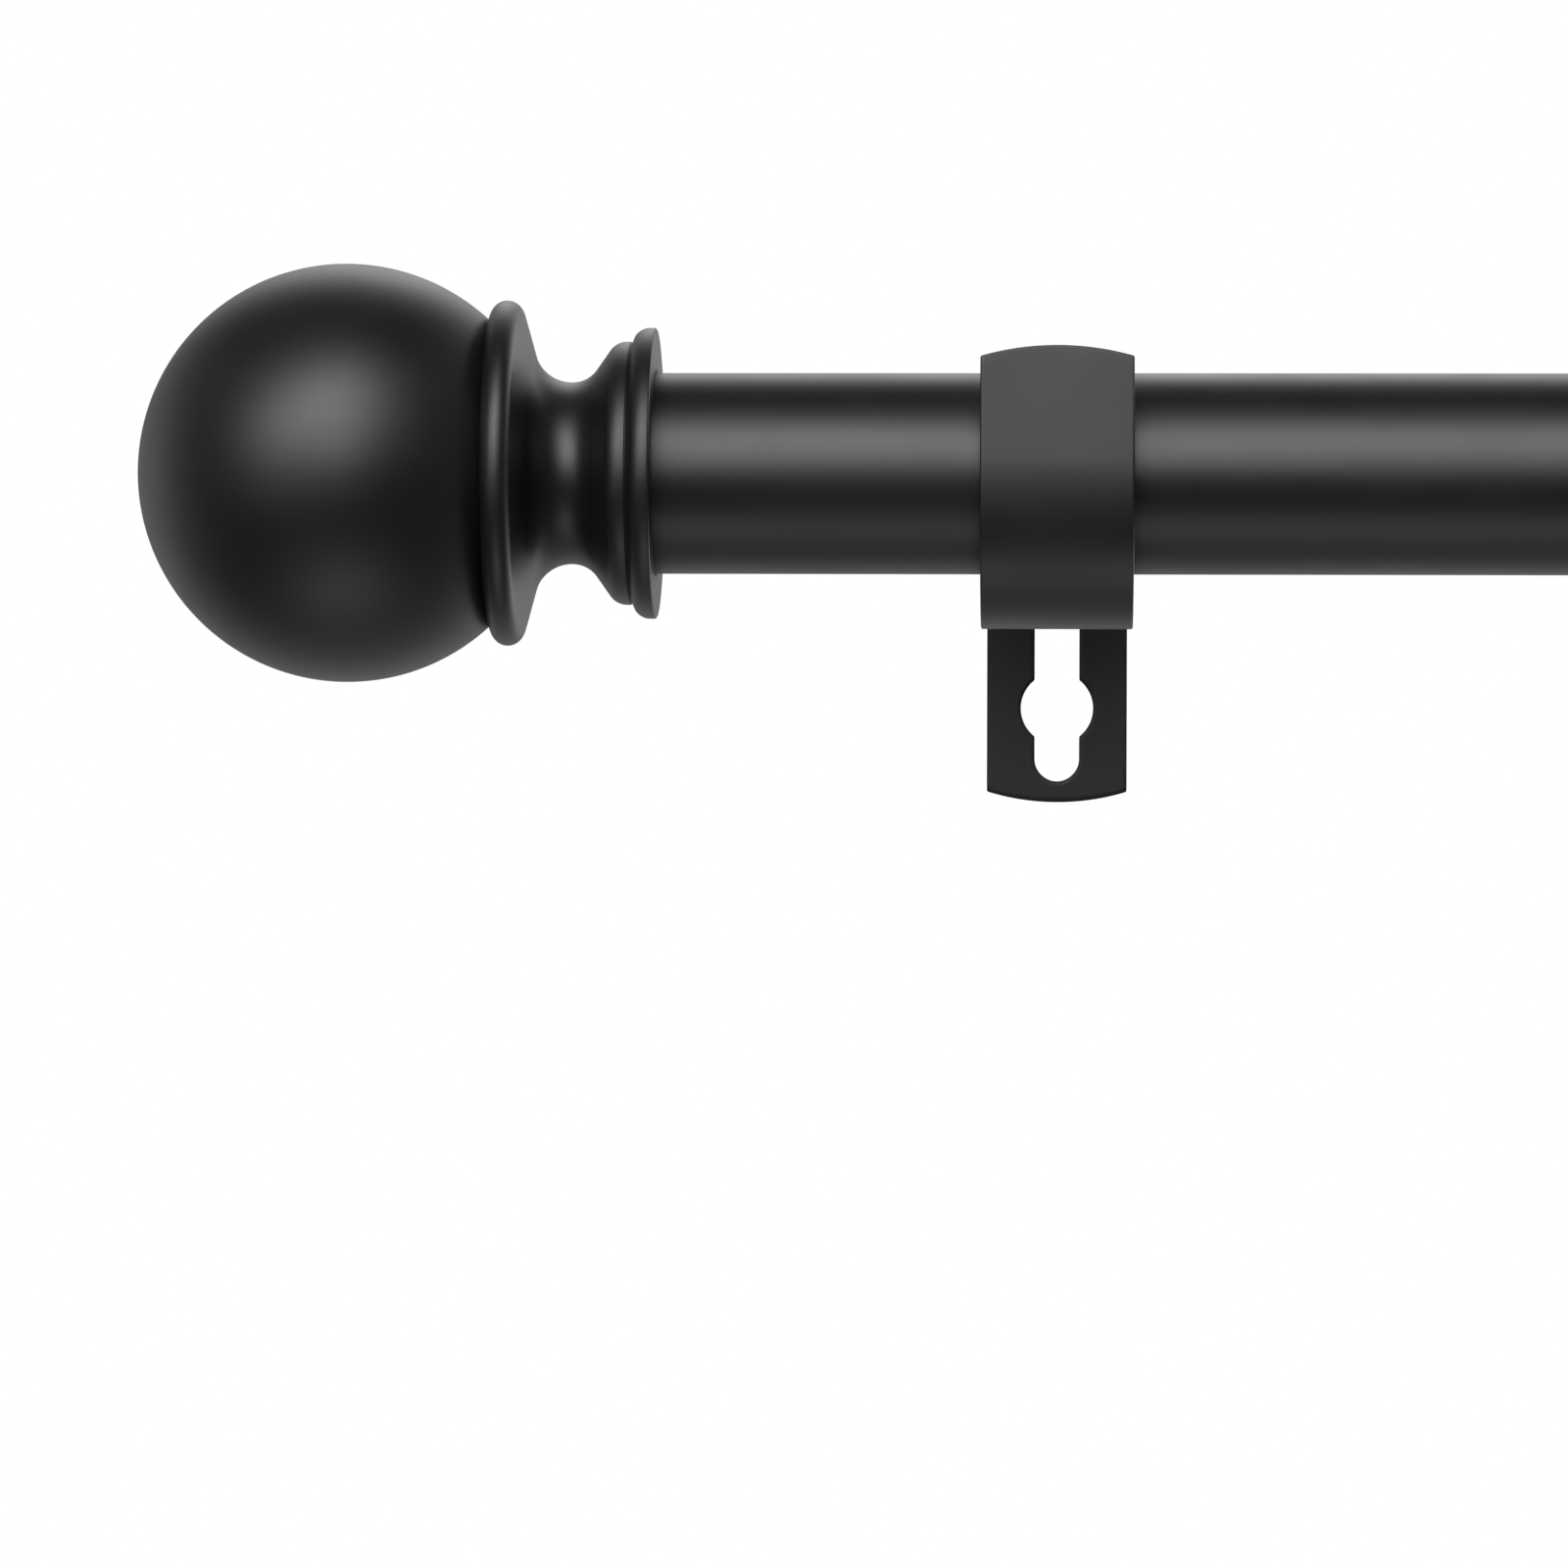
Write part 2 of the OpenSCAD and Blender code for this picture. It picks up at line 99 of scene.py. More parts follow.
def math_node(operation, *inputs):
    """Math node whose inputs are sockets or numbers."""
    node = nodes.new("ShaderNodeMath")
    node.operation = operation
    for i, given in enumerate(inputs):
        if isinstance(given, (int, float)):
            node.inputs[i].default_value = given
        else:
            links.new(given, node.inputs[i])
    return node.outputs[0]


direction = nodes.new("ShaderNodeTexCoord").outputs["Generated"]


def soft_box(side, up, spread, light):
    """Spot of light in the world whose middle lies side degrees to the right of straight ahead and up
    degrees above level: light * exp(-(1 - cosine of the angle to it) / (1 - cosine of spread))."""
    towards = nodes.new("ShaderNodeVectorMath")
    towards.operation = "DOT_PRODUCT"
    towards.inputs[1].default_value = (sin(radians(side)) * cos(radians(up)),
                                       -cos(radians(side)) * cos(radians(up)), sin(radians(up)))
    links.new(direction, towards.inputs[0])
    narrow = 1 / (1 - cos(radians(spread)))
    off = math_node("MULTIPLY_ADD", towards.outputs["Value"], narrow, -narrow)
    return math_node("MULTIPLY", math_node("EXPONENT", off), light)


key_box = soft_box(side=0, up=40, spread=20, light=6)
side_box = soft_box(side=-30, up=25, spread=20, light=4)
lens_box = soft_box(side=0, up=15, spread=10, light=3)
back_box = soft_box(side=180, up=35, spread=20, light=2)
edge_box = soft_box(side=120, up=0, spread=25, light=5)
floor_card = soft_box(side=0, up=-65, spread=20, light=1.2)
left_card = soft_box(side=-120, up=0, spread=30, light=0.6)
back_card = soft_box(side=180, up=-45, spread=45, light=0.5)
light = room_light
for box in (key_box, side_box, lens_box, back_box, edge_box, floor_card, left_card, back_card):
    light = math_node("ADD", light, box)
seen = nodes.new("ShaderNodeLightPath")
sky_dark, sky_white = nodes.new("ShaderNodeBackground"), nodes.new("ShaderNodeBackground")
sky_white.inputs["Color"].default_value = (1, 1, 1, 1)
links.new(light, sky_dark.inputs["Strength"])
sky_dark.inputs["Color"].default_value = (1, 1, 1, 1)
choice = nodes.new("ShaderNodeMixShader")
links.new(seen.outputs["Is Camera Ray"], choice.inputs[0])
links.new(sky_dark.outputs[0], choice.inputs[1])
links.new(sky_white.outputs[0], choice.inputs[2])
links.new(choice.outputs[0], nodes.new("ShaderNodeOutputWorld").inputs[0])


# ---- Finial balls ----
# Each ball is a hollow shell with a threaded boss inside its foot. Ball, neck and rod are sprayed with
# one satin black powder coat, which leaves a very fine orange peel.
def texture_group(name, add_pattern):
    """Node group that turns a place on the piece and two sizes, in metres, into a height and a cloud,
    each from 0 to 1. The pattern links its results to the group's output."""
    group = bpy.data.node_groups.new(name, "ShaderNodeTree")
    for way, sockets in (("INPUT", ("Grain Size", "Cloud Size")), ("OUTPUT", ("Height", "Cloud"))):
        for socket in sockets:
            group.interface.new_socket(socket, in_out=way, socket_type="NodeSocketFloat")
    given, results = group.nodes.new("NodeGroupInput"), group.nodes.new("NodeGroupOutput")
    place = group.nodes.new("ShaderNodeTexCoord").outputs["Object"]
    height, cloud = add_pattern(group, place, given.outputs["Grain Size"], given.outputs["Cloud Size"])
    group.links.new(height, results.inputs["Height"])
    group.links.new(cloud, results.inputs["Cloud"])
    return group


def add_noise(group, place, size, detail, stretch=(1, 1, 1)):
    """Noise whose features are size metres across, and longer where stretch is under 1."""
    scale = group.nodes.new("ShaderNodeMath")
    scale.operation = "DIVIDE"
    scale.inputs[0].default_value = 1
    group.links.new(size, scale.inputs[1])
    pulled = group.nodes.new("ShaderNodeVectorMath")
    pulled.operation = "MULTIPLY"
    pulled.inputs[1].default_value = stretch
    group.links.new(place, pulled.inputs[0])
    noise = group.nodes.new("ShaderNodeTexNoise")
    noise.inputs["Detail"].default_value = detail
    group.links.new(pulled.outputs[0], noise.inputs["Vector"])
    group.links.new(scale.outputs[0], noise.inputs["Scale"])
    return noise.outputs["Fac"]


def orange_peel(group, place, grain_size, cloud_size):
    """Height: the grain's noise, with two fifths of the coarser swell. Cloud: the swell alone."""
    swell = add_noise(group, place, cloud_size, 3)
    both = group.nodes.new("ShaderNodeMath")
    both.operation = "MULTIPLY_ADD"
    both.inputs[1].default_value = 0.4
    group.links.new(swell, both.inputs[0])
    group.links.new(add_noise(group, place, grain_size, 2), both.inputs[2])
    return both.outputs[0], swell


def finish(name, texture, grain, cloud, colours, roughness, height, metallic=0):
    """Material whose colour and roughness drift between two values with its texture's cloud, and whose
    surface rises by up to height, in metres, with the texture's height."""
    material = bpy.data.materials.new(name)
    material.use_nodes = True
    tree = material.node_tree
    look = tree.nodes["Principled BSDF"]
    look.inputs["Metallic"].default_value = metallic
    surface = tree.nodes.new("ShaderNodeGroup")
    surface.node_tree = texture
    surface.inputs["Grain Size"].default_value = grain
    surface.inputs["Cloud Size"].default_value = cloud
    tint = tree.nodes.new("ShaderNodeValToRGB")
    for stop, at, colour in zip(tint.color_ramp.elements, (0.3, 0.7), colours):
        stop.position, stop.color = at, (*colour, 1)
    tree.links.new(surface.outputs["Cloud"], tint.inputs["Fac"])
    tree.links.new(tint.outputs["Color"], look.inputs["Base Color"])
    gloss = tree.nodes.new("ShaderNodeMapRange")
    for socket, value in zip(("From Min", "From Max", "To Min", "To Max"), (0.3, 0.7, *roughness)):
        gloss.inputs[socket].default_value = value
    tree.links.new(surface.outputs["Cloud"], gloss.inputs["Value"])
    tree.links.new(gloss.outputs[0], look.inputs["Roughness"])
    bump = tree.nodes.new("ShaderNodeBump")
    bump.inputs["Distance"].default_value = height
    tree.links.new(surface.outputs["Height"], bump.inputs["Height"])
    tree.links.new(bump.outputs["Normal"], look.inputs["Normal"])
    return material


peel = texture_group("orange_peel", orange_peel)
powder_coat = finish("powder_coat", peel, 0.7 * MM, 14 * MM,
                     ((0.0042, 0.0042, 0.0044), (0.0054, 0.0054, 0.0056)), (0.36, 0.41), 0.004 * MM)


def mesh_piece(name, points, faces):
    """Mesh of four-cornered faces in which points at one place are one point. A face that loses a corner
    to that becomes a triangle. The faces are turned outwards: the volume under them, a third of each
    triangle's height over the middle times its area, comes out positive."""
    _, first, same = np.unique(np.round(points, 8), axis=0, return_index=True, return_inverse=True)
    points, faces = points[first], same.reshape(-1)[faces]
    doubled = faces == np.roll(faces, -1, axis=1)
    quads = faces[doubled.sum(1) == 0]
    cut = doubled.sum(1) == 1
    triangles = faces[cut][~doubled[cut]].reshape(-1, 3)
    halves = np.concatenate([quads[:, [0, 1, 2]], quads[:, [0, 2, 3]], triangles])
    a, b, c = (points[halves[:, k]] - points.mean(0) for k in range(3))
    if np.einsum("ij,ij->", a, np.cross(b, c)) < 0:
        quads, triangles = quads[:, ::-1], triangles[:, ::-1]
    mesh = bpy.data.meshes.new(name)
    mesh.from_pydata(points.tolist(), [], quads.tolist() + triangles.tolist())
    mesh.shade_smooth()
    piece = bpy.data.objects.new(name, mesh)
    bpy.context.collection.objects.link(piece)
    return piece


def grid_faces(rows, columns, ring=True, loop=False):
    """Corners of the faces between neighbours on a grid of points. The last column joins the first if
    ring is true, and the last row joins the first if loop is true."""
    i = np.arange(rows if loop else rows - 1)[:, None]
    j = np.arange(columns if ring else columns - 1)[None, :]
    corners = [(i, j), (i, j + 1), (i + 1, j + 1), (i + 1, j)]
    return np.stack([(a % rows) * columns + b % columns for a, b in corners], -1).reshape(-1, 4)


def turned(name, profile, base, axis, sides=96, loop=False):
    """Surface turned round an axis. A row of the profile is [distance out along the axis, radius], where
    the radius may be an array over the turn; column j lies at the angle 2 pi j / sides."""
    out = np.array([row[0] + np.zeros(sides) for row in profile])
    radius = np.array([row[1] + np.zeros(sides) for row in profile])
    axis = np.array(axis, float) / np.linalg.norm(axis)
    first = np.cross(axis, [1, 0, 0] if abs(axis[0]) < 0.9 else [0, 1, 0])
    first = first / np.linalg.norm(first)
    around = np.arange(sides) * 2 * pi / sides
    spoke = np.cos(around)[:, None] * first + np.sin(around)[:, None] * np.cross(axis, first)
    grid = np.array(base) + out[..., None] * axis + radius[..., None] * spoke
    return mesh_piece(name, grid.reshape(-1, 3), grid_faces(*grid.shape[:2], loop=loop))


def arc(out, radius, size, start, end, steps=24):
    """Profile points round (out, radius), at angles from the outward radius towards the axis's end."""
    at = np.radians(np.linspace(start, end, steps + 1))
    return np.stack([out + size * np.sin(at), radius + size * np.cos(at)], 1)


def filleted(corners, steps=4):
    """Profile through [out, radius, fillet] corners. A corner with a fillet becomes an arc that touches
    both of its sides: its centre lies on the corner's bisector, fillet / sin(half the corner) away."""
    corners = np.array(corners, float)
    points = [corners[0, :2]]
    for before, here, after in zip(corners[:-2, :2], corners[1:-1], corners[2:, :2]):
        here, fillet = here[:2], here[2]
        back = (before - here) / np.linalg.norm(before - here)
        on = (after - here) / np.linalg.norm(after - here)
        half = acos(np.clip(back @ on, -1, 1)) / 2
        if fillet == 0 or half > radians(89.9):
            points.append(here)
            continue
        centre = here + (back + on) / np.linalg.norm(back + on) * fillet / sin(half)
        start, end = here + back * fillet / tan(half) - centre, here + on * fillet / tan(half) - centre
        opening = acos(np.clip(start @ end / fillet ** 2, -1, 1))
        for share in np.linspace(0, 1, steps + 1):
            mix = sin((1 - share) * opening) * start + sin(share * opening) * end
            points.append(centre + mix / sin(opening))
    points.append(corners[-1, :2])
    return np.array(points)


def fit(piece, material, slot, body, *nodes):
    """Gives a piece its finish and its body, and lets it stand for its CAD nodes. Weighted normals keep
    its flat faces flat beside the rounded edges."""
    piece.data.materials.append(material)
    piece.modifiers.new("flat_faces", "WEIGHTED_NORMAL").weight = 80
    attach(piece, body)
    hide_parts(*nodes)


ends = {"left": (-1, float(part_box("left_finial_neck")[1][0])),
        "right": (1, float(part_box("right_finial_neck")[0][0]))}
ball_low, ball_high = (np.array(corner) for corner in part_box("left_finial_ball"))
ball_r = (ball_high[2] - ball_low[2]) / 2
ball_at = ends["left"][1] - ball_low[0] - ball_r
ball_foot = ball_at - ball_r
stud_low, stud_high = (np.array(corner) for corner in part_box("left_finial_stud"))
stud_r = (stud_high[2] - stud_low[2]) / 2
stud_hole_r = stud_r + 0.05 * MM
boss_r, boss_len, ball_wall = stud_r + 4 * MM, 13 * MM, 2 * MM


def ball_profile():
    """From the far pole over the outside to the hole in the foot, through the boss, and back over the
    inside to the pole: two circles about one centre, joined by the hole and the boss."""
    inner_r, rim = ball_r - ball_wall, 0.3 * MM
    outside = arc(ball_at, 0, ball_r, 90, degrees(asin((stud_hole_r + rim) / ball_r)) - 90, 90)
    inside = arc(ball_at, 0, inner_r, degrees(asin(boss_r / inner_r)) - 90, 90, 48)
    boss = filleted([[ball_foot + rim, stud_hole_r, 0], [ball_foot + boss_len, stud_hole_r, 0.4 * MM],
                     [ball_foot + boss_len, boss_r, 0.6 * MM], [*inside[0], 0]])
    return np.concatenate([outside, boss[:-1], inside])


for side, (way, collar_x) in ends.items():
    ball = turned(f"ball_{side}", ball_profile(), [collar_x, rod_y, rod_z], [way, 0, 0], sides=160)
    fit(ball, powder_coat, "powder_coat", f"{side}_finial", f"{side}_finial_ball")

# ---- Finial necks ----
# A turned and drilled casting. From the rod outwards: the collar that takes the tube's end, a small
# flange, a cove, and the bead ring in whose dished face the ball sits.
collar_r, flange_r, waist_r, ring_r = (rod_r + over * MM for over in (5.7, 3.95, -1.2, 9.15))
collar_round, collar_round_at = 2.2 * MM, 0.8 * MM
flange_round, flange_at, flange_to = 2.5 * MM, 3.75 * MM, 54
cove_at, cove_r, ring_cove_r = 10.7 * MM, 3.9 * MM, 4.95 * MM
socket_r, socket_depth = rod_r + 0.3 * MM, 6.3 * MM
seat_r, seat_gap, ring_round = ring_r - 2.8 * MM, 0.05 * MM, 2 * MM
seat_at = ball_at - sqrt(ball_r ** 2 - seat_r ** 2)
ring_at = seat_at - ring_round


def neck_profile():
    """Arcs along the outside, then the dish (a circle about the ball's centre), the stud's hole and the
    socket for the tube. The line from cove to ring touches both arcs: seen from the cove's centre, it
    touches at acos((cove + ring radius) / distance) from the way to the ring's centre."""
    way_out, way_on = ring_r - ring_round - waist_r - ring_cove_r, ring_at - cove_at
    touch = atan2(way_on, way_out) + acos((ring_cove_r + ring_round) / hypot(way_out, way_on))
    touch = degrees(touch)
    rim = filleted([[0, socket_r + 0.3 * MM, 0], [0, collar_r, 0.3 * MM], [collar_round_at, collar_r, 0]])
    collar = arc(collar_round_at, collar_r - collar_round, collar_round, 0, 55, 14)
    groove = filleted([[2.95 * MM, flange_r, 0], [3.1 * MM, flange_r - 0.15 * MM, 0.04 * MM],
                       [3.25 * MM, flange_r, 0.04 * MM], [flange_at, flange_r, 0]], 3)
    flange = arc(flange_at, flange_r - flange_round, flange_round, 4, flange_to, 14)
    cove = arc(cove_at, waist_r + cove_r, cove_r, 180 + flange_to, 180, 24)
    ring_side = arc(cove_at, waist_r + ring_cove_r, ring_cove_r, 177, touch, 24)
    ring = arc(ring_at, ring_r - ring_round, ring_round, touch - 180, 90, 36)
    dish_r = ball_r + seat_gap
    dish = arc(ball_at, 0, dish_r, degrees(asin(seat_r / dish_r)) - 90,
               degrees(asin(stud_hole_r / dish_r)) - 90, 30)
    socket = filleted([[*dish[-1], 0], [socket_depth, stud_hole_r, 0.2 * MM],
                       [socket_depth, socket_r, 0.4 * MM], [0.3 * MM, socket_r, 0],
                       [0, socket_r + 0.3 * MM, 0]])
    return np.concatenate([rim[:-1], collar, groove, flange, cove, ring_side, ring, dish, socket[1:-1]])


for side, (way, collar_x) in ends.items():
    neck = turned(f"neck_{side}", neck_profile(), [collar_x, rod_y, rod_z], [way, 0, 0], sides=160, loop=True)
    fit(neck, powder_coat, "powder_coat", f"{side}_finial", f"{side}_finial_neck")

# ---- Studs, end plugs and their nuts ----
# A zinc-plated threaded stud ties ball and neck together and screws into a nut, which sits in the hex
# pocket of a nylon plug that is pressed into the tube's end.
def brushed(group, place, grain_size, cloud_size):
    """Height: noise drawn out eight times along the rod. Cloud: round noise, the plating's bloom."""
    height = add_noise(group, place, grain_size, 2, (0.125, 1, 1))
    return height, add_noise(group, place, cloud_size, 2)


zinc = finish("zinc", texture_group("plated_steel", brushed), 0.25 * MM, 3 * MM,
              ((0.50, 0.51, 0.53), (0.66, 0.66, 0.65)), (0.24, 0.36), 0.003 * MM, metallic=1)
nylon = finish("nylon", peel, 0.35 * MM, 6 * MM,
               ((0.016, 0.016, 0.017), (0.024, 0.024, 0.025)), (0.5, 0.62), 0.006 * MM)


def threaded(low, high, radius, pitch, sides=32, rows=8):
    """Rows of a screw thread between two distances. The radius follows a triangle wave of the distance in
    pitches less the turn, with its tips cut flat, and fades to the root over half a pitch at the ends."""
    out = np.linspace(low, high, int(rows * (high - low) / pitch) + 1)
    phase = (out[:, None] / pitch - np.arange(sides) / sides) % 1
    tooth = np.clip(1.25 * np.abs(2 * phase - 1) - 0.125, 0, 1)
    fade = np.clip(np.minimum(out - low, high - out) / (0.5 * pitch), 0, 1)[:, None]
    return [[at, radius - 0.55 * pitch * (1 - tooth_row)] for at, tooth_row in zip(out, tooth * fade)]


def hexed(across, sides=96):
    """Radius of a hexagon with lightly rounded corners, over the turn."""
    off = (np.arange(sides) / sides * 6) % 1 - 0.5
    return np.minimum(across / 2 / np.cos(off * pi / 3), across / 2 / cos(pi / 6) * 0.985)


def nut_profile(low, high, across, hole_r, pitch):
    """Rows of a hex nut: the corners of both faces are turned off at 30 degrees, and the hole is threaded
    by a helical triangle wave."""
    flat, face_r = hexed(across), 0.95 * across / 2
    slope = (flat - face_r) * tan(radians(30))
    turn = np.arange(96) / 96
    bore = [[at, hole_r + 0.3 * pitch * np.abs(2 * ((at / pitch - turn) % 1) - 1)]
            for at in np.linspace(high - 0.4 * MM, low + 0.4 * MM, int(6 * (high - low) / pitch))]
    mouth = hole_r + 0.35 * MM
    return [[low, mouth], [low, face_r], [low + slope, flat], [high - slope, flat], [high, face_r],
            [high, mouth], *bore]


def plug_profile(node, collar_x, way):
    """Rows of an end plug. The body that sits in the tube carries eight low crush ribs, the flange in
    front has rounded edges, and a hole and a hex pocket take the stud and the nut."""
    low, high = (np.array(corner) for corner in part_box(node))
    inside, outside = sorted((way * (low[0] - collar_x), way * (high[0] - collar_x)))
    tube = {"left": "outer_tube", "right": "inner_tube"}[node.split("_")[0]]
    tube_r = (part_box(tube)[1][2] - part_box(tube)[0][2]) / 2
    body_r = tube_r - tube_wall
    flange_in = outside - plug_flange
    ribs = 0.18 * MM * np.clip(1.6 * np.cos(8 * np.arange(96) * 2 * pi / 96) - 0.9, 0, 0.5)
    pocket = hexed(nut_across + 0.1 * MM)
    hole = stud_r + 0.2 * MM
    pocket_end = float(way * (nut_box[0 if way > 0 else 1][0] - collar_x)) + nut_h
    rows = [[inside, pocket], [inside, pocket + 0.3 * MM], [inside, body_r - 0.9 * MM],
            [inside + 0.8 * MM, body_r - 0.35 * MM], [inside + 2 * MM, body_r - 0.2 * MM + ribs],
            [flange_in - 0.6 * MM, body_r - 0.2 * MM + ribs], [flange_in - 0.2 * MM, body_r]]
    if tube_r < rod_r:
        rows += [[flange_in, body_r], [flange_in, tube_r], [0.25 * MM, tube_r], [0, tube_r + 0.25 * MM],
                 [0, rod_r - 0.3 * MM], [0.3 * MM, rod_r]]
    else:
        rows += [[flange_in, body_r], [flange_in, rod_r - 0.2 * MM], [flange_in + 0.2 * MM, rod_r]]
    return rows + [[outside - 0.3 * MM, rod_r], [outside - 0.1 * MM, rod_r - 0.1 * MM],
                   [outside, rod_r - 0.3 * MM], [outside, hole + 0.4 * MM], [outside - 0.4 * MM, hole],
                   [pocket_end, hole], [pocket_end, pocket]]


tube_wall, plug_flange, thread_pitch = 0.8 * MM, 1.5 * MM, 1 * MM
for side, (way, collar_x) in ends.items():
    end = ([collar_x, rod_y, rod_z], [way, 0, 0])
    nut_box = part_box(f"{side}_plug_nut")
    nut_across = min(nut_box[1][1] - nut_box[0][1], nut_box[1][2] - nut_box[0][2])
    nut_h = nut_box[1][0] - nut_box[0][0]
    nut_low = min(way * (nut_box[0][0] - collar_x), way * (nut_box[1][0] - collar_x))
    stud_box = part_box(f"{side}_finial_stud")
    foot, top = sorted((way * (stud_box[0][0] - collar_x), way * (stud_box[1][0] - collar_x)))
    point = 0.6 * MM
    thread = threaded(foot + point, top - point, stud_r, thread_pitch)
    core = stud_r - 0.55 * thread_pitch
    stud = turned(f"stud_{side}", [[foot, 0], [foot, core - point / 2], *thread, [top, core - point / 2],
                                   [top, 0]], *end, sides=32)
    fit(stud, zinc, "zinc", f"{side}_finial", f"{side}_finial_stud")
    rod = {"left": "outer_rod", "right": "inner_rod"}[side]
    plug = turned(f"plug_{side}", plug_profile(f"{side}_end_plug", collar_x, way), *end, loop=True)
    fit(plug, nylon, "nylon", rod, f"{side}_end_plug")
    nut = turned(f"rod_nut_{side}", nut_profile(nut_low, nut_low + nut_h, nut_across, stud_hole_r,
                                                thread_pitch), *end, loop=True)
    fit(nut, zinc, "zinc", rod, f"{side}_plug_nut")

# ---- Tubes ----
# Two rolled and welded steel tubes, one sliding in the other. The ends are sawn and lightly deburred,
# and the weld leaves a low bead along the inside.
def tube_profile(length, radius):
    """Outside and inside walls with rounded ends; the inside is drawn in by a narrow bell curve of the
    angle where the weld's bead runs."""
    bead = 0.15 * MM * np.exp(-((np.arange(96) * 2 * pi / 96 - pi / 2) / 0.06) ** 2)
    outline = filleted([[length / 2, radius - tube_wall, 0], [0, radius - tube_wall, 0.2 * MM],
                        [0, radius, 0.3 * MM], [length, radius, 0.3 * MM],
                        [length, radius - tube_wall, 0.2 * MM], [length / 2, radius - tube_wall, 0]])
    return [[out, r - (bead if r < radius - 0.99 * tube_wall else 0)] for out, r in outline[:-1]]


for node, body in (("outer_tube", "outer_rod"), ("inner_tube", "inner_rod")):
    low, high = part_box(node)
    tube = turned(node + "_coated", tube_profile(high[0] - low[0], (high[2] - low[2]) / 2),
                  [low[0], rod_y, rod_z], [1, 0, 0], loop=True)
    fit(tube, powder_coat, "powder_coat", body, node)

# ---- Mouth bush and tail plug ----
# Two nylon mouldings that keep the tubes apart. The bush is pressed into the outer tube's mouth, and the
# plug closes the inner tube's hidden end and slides in the outer tube's bore.
def ring_piece(name, node, rows, body):
    """Turned ring whose rows are [distance from the node's left end, radius]."""
    ring_of_rows = turned(name, rows, [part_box(node)[0][0], rod_y, rod_z], [1, 0, 0], loop=True)
    fit(ring_of_rows, nylon, "nylon", body, node)


inner_r = (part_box("inner_tube")[1][2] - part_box("inner_tube")[0][2]) / 2
bore_r = rod_r - tube_wall
bush_in, bush_lip, run = 12 * MM, 1.2 * MM, 0.05 * MM
bush = filleted([[bush_in / 2, inner_r + run, 0], [0, inner_r + run, 0.2 * MM], [0, bore_r, 0.35 * MM],
                 [bush_in, bore_r, 0.1 * MM], [bush_in, rod_r, 0.15 * MM],
                 [bush_in + bush_lip, rod_r, 0.5 * MM], [bush_in + bush_lip, inner_r + run, 0.3 * MM],
                 [bush_in / 2, inner_r + run, 0]])
ring_piece("bush_moulded", "mouth_bush", bush[:-1], "outer_rod")

tail_flange, tail_depth, tail_wall = 3 * MM, 10 * MM, 3 * MM
plug_r = inner_r - tube_wall
tail = filleted([[tail_depth / 2, plug_r - tail_wall, 0], [0, plug_r - tail_wall, 0.4 * MM],
                 [0, bore_r - run, 0.8 * MM], [tail_flange, bore_r - run, 0.2 * MM],
                 [tail_flange, plug_r, 0.05 * MM], [tail_flange + tail_depth, plug_r, 1.2 * MM],
                 [tail_flange + tail_depth, plug_r - tail_wall, 0.3 * MM],
                 [tail_depth / 2, plug_r - tail_wall, 0]])
ring_piece("tail_plug_moulded", "tail_plug", tail[:-1], "inner_rod")

# ---- Wall brackets ----
# Each is one steel strip with sawn-out holes and a single press-brake bend, coated like the rod: a plate
# with a keyhole and slots for the wall screws, and an arm with the hole for the arm screw.
strip_t, strip_round = 2 * MM, 0.22 * MM


def opening(angle, half_width, up, down, round_r, grown):
    """Distance from the middle to the edge of an opening, at an angle from the width: a slot along the
    strip whose round ends reach up and down that far, joined with a round hole. The edge may be grown."""
    across, along = np.abs(np.cos(angle)), np.sin(angle)
    slot_r = half_width + grown
    reach = np.where(along > 0, up, down) - half_width
    along = np.abs(along)
    side = slot_r / np.maximum(across, 1e-9)
    end = reach * along + np.sqrt(np.maximum(slot_r ** 2 - (reach * across) ** 2, 0))
    return np.maximum(np.where(side * along <= reach, side, end), round_r + grown if round_r else 0)


def walk(start, heading, bends, gone):
    """Places in the Y-Z plane along a path of [length, turn in degrees] pieces. From the start of a piece
    of even curvature k, under heading h, the way ds leads ds sin(k ds / 2) / (k ds / 2) far straight
    under h + k ds / 2."""
    place, h, at, places = np.array(start), radians(heading), 0, np.zeros((*np.shape(gone), 2))
    for i, (length, turned_by) in enumerate(bends):
        k = radians(turned_by) / length
        here = gone >= at if i else np.full(np.shape(gone), True)
        ds = np.where(here, gone - at, 0)
        chord = ds * np.sinc(k * ds / 2 / pi)
        step = np.stack([np.cos(h + k * ds / 2), np.sin(h + k * ds / 2)], -1) * chord[..., None]
        places = np.where(here[..., None], place + step, places)
        chord = length * np.sinc(k * length / 2 / pi)
        place = place + chord * np.array([cos(h + k * length / 2), sin(h + k * length / 2)])
        h, at = h + k * length, at + length
    return places


